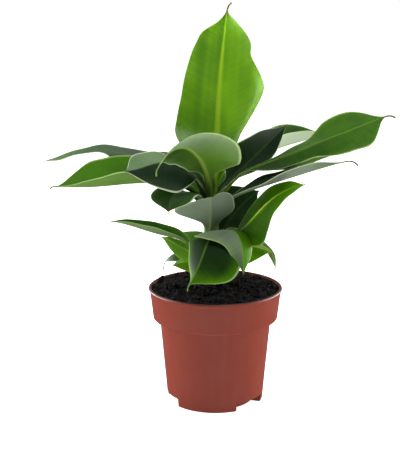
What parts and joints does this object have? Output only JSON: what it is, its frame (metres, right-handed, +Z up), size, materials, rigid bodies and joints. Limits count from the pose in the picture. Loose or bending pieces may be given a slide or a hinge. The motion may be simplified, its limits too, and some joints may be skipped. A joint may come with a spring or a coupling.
{
  "type": "potted banana plant",
  "caption": "Young banana plant with long stalked leaves round a short false stem, standing in a round tapered nursery pot filled with soil.",
  "frame": {"origin": "middle of the pot's flat underside, on the surface that it stands on", "axes": "+Z up, +X to the plant's right in its front view, +Y to its back"},
  "size_m": [0.322, 0.1873, 0.3539],
  "materials": {
    "pot": "matte moulded plastic, terracotta red-brown",
    "soil": "moist crumbly potting soil, near black brown",
    "stem": "smooth rolled leaf sheaths, pale green",
    "leaf": "waxy satin leaf, dark to yellow green above, paler grey green below"
  },
  "bodies": {
    "root": {"pot": "pot", "soil": "soil", "pseudostem": "stem", "leaf_spear": "leaf", "leaf_hood": "leaf", "leaf_front_left": "leaf", "leaf_far_left": "leaf", "leaf_low_left": "leaf", "leaf_round_left": "leaf", "leaf_big_right": "leaf", "leaf_dark_right": "leaf", "leaf_back_right": "leaf", "leaf_narrow_right": "leaf", "leaf_bright_right": "leaf", "leaf_inner_right": "leaf", "leaf_front_fold": "leaf", "leaf_droop_right": "leaf", "leaf_front_arch": "leaf", "leaf_small_right": "leaf", "leaf_front_bottom": "leaf", "leaf_slender_left": "leaf", "leaf_small_left": "leaf", "leaf_dark_tip_left": "leaf", "leaf_bottom_left": "leaf", "leaf_back_middle": "leaf", "leaf_back_low": "leaf", "leaf_back_small": "leaf"}
  },
  "joints": []
}
